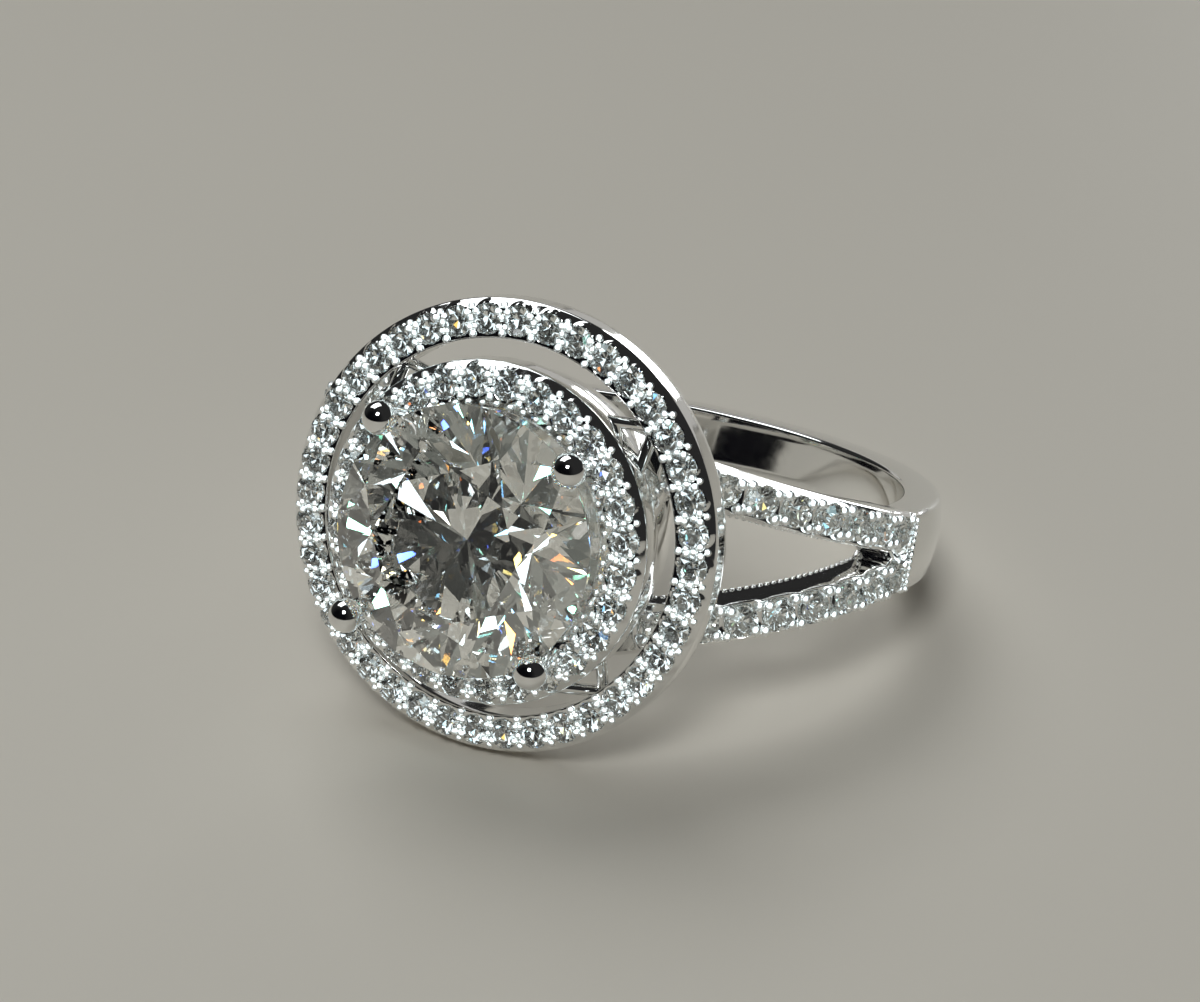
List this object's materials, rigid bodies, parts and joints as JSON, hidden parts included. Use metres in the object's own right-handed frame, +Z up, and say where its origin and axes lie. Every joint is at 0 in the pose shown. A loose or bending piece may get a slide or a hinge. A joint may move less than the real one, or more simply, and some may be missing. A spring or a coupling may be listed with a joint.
{
  "type": "halo ring",
  "caption": "Finger ring with a round faceted stone in ball claws over two stepped halos of small stones, on a split band whose arms are set with small stones.",
  "frame": {"origin": "middle of the footprint, on the surface that the ring lies on", "axes": "+Z up from the surface; -Y towards the head and its stone, +Y towards the back of the band; +X across the ring. The ring lies on its side on the outer halo's lower rim and the back edge of its band, so the finger's axis leans 16.3 degrees from +Z towards +Y."},
  "size_m": [0.0196, 0.023, 0.0125],
  "materials": {
    "white_metal": "polished white metal, such as rhodium-plated silver",
    "centre_crystal": "colourless cut stone with polished facets",
    "small_crystal": "colourless cut stones with polished facets"
  },
  "bodies": {
    "root": {"mounting": "white_metal", "centre_stone": "centre_crystal", "outer_halo_stones": "small_crystal", "inner_halo_stones": "small_crystal", "right_arm_stones": "small_crystal", "left_arm_stones": "small_crystal"}
  },
  "joints": []
}
